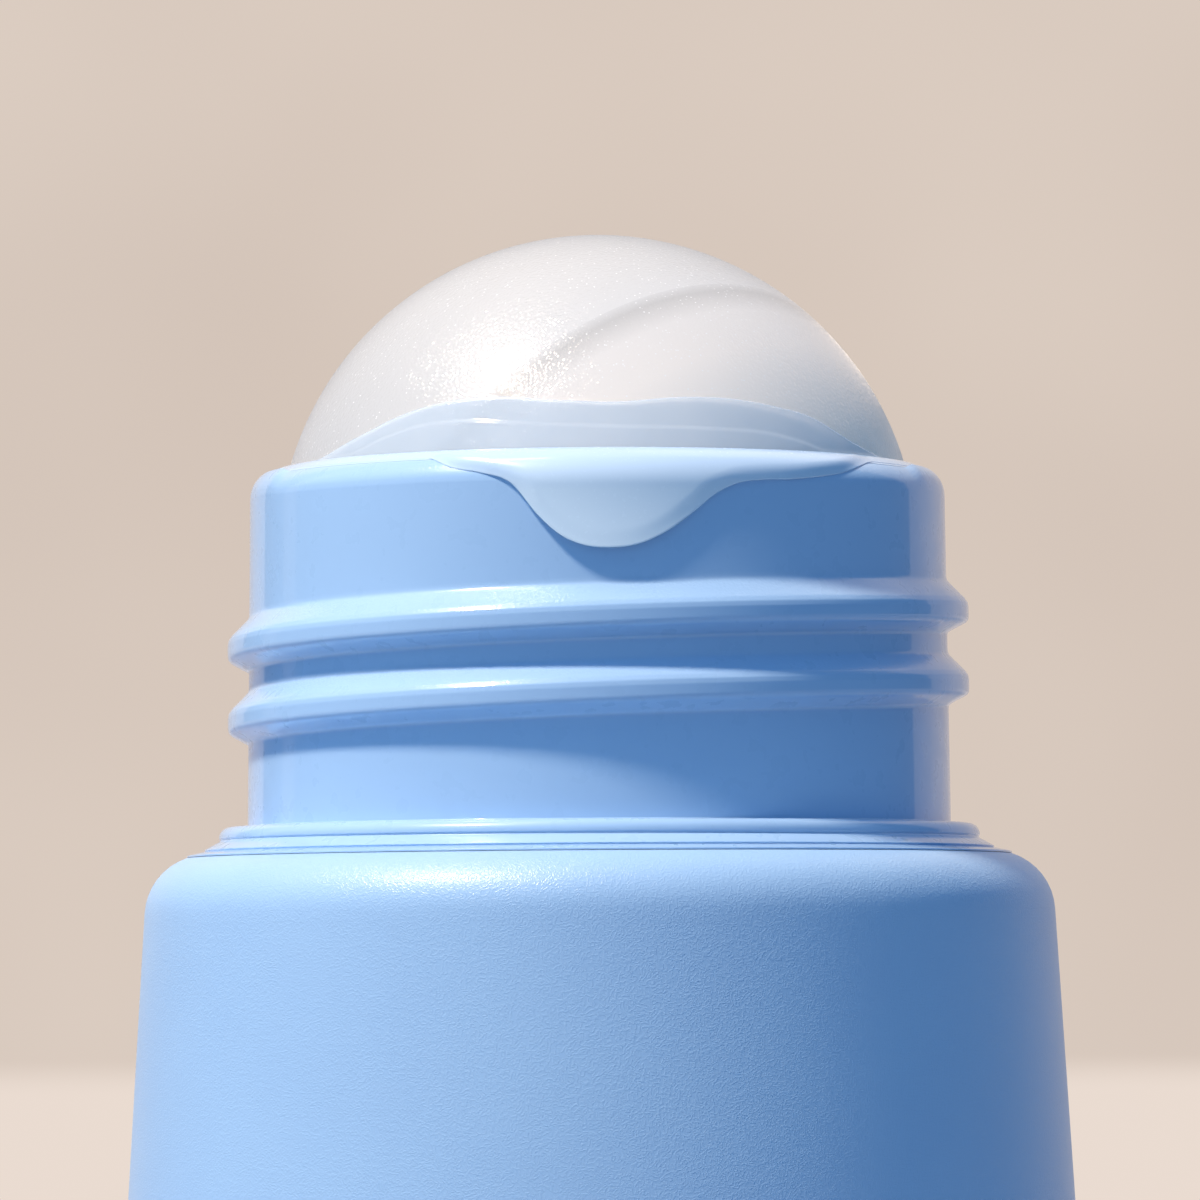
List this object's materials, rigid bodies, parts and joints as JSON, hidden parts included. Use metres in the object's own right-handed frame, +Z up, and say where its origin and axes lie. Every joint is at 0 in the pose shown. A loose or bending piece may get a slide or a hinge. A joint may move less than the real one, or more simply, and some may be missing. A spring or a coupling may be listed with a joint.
{
  "type": "roll-on bottle",
  "caption": "Squat tapered roll-on bottle with a screw-thread neck, a stepped collar and a hollow rolling ball held by a lift-out head with a soft wiper and a lip with a front tongue.",
  "frame": {"origin": "middle of the foot, on the surface that the bottle stands on", "axes": "+Z up along the bottle's axis, -Y to the front, where the lip's tongue hangs, +X to the right"},
  "size_m": [0.0568, 0.0568, 0.0924],
  "materials": {
    "grained_shell": "satin, fine leather grain",
    "gloss_neck": "gloss",
    "socket_plastic": "satin",
    "ring_rubber": "matte",
    "clear_seal": "see-through gloss",
    "gloss_lip": "high gloss",
    "frosted_ball": "frosted pearl"
  },
  "bodies": {
    "container": {"outer_jacket": "grained_shell", "base_plug": "grained_shell", "inner_bottle": "gloss_neck"},
    "roller_head": {"ball_socket": "socket_plastic", "head_o_ring": "ring_rubber", "wiper_seal": "clear_seal", "retaining_lip": "gloss_lip"},
    "ball": {"ball_upper_half": "frosted_ball", "ball_lower_half": "frosted_ball"}
  },
  "joints": [
    {"name": "head_lift", "type": "slide", "parent": "container", "child": "roller_head", "axis": [0, 0, 1], "range_m": [0, 0.03]},
    {"name": "ball_roll", "type": "hinge", "parent": "roller_head", "child": "ball", "pos_m": [0, 0, 0.0747], "axis": [1, 0, 0], "continuous": true}
  ]
}
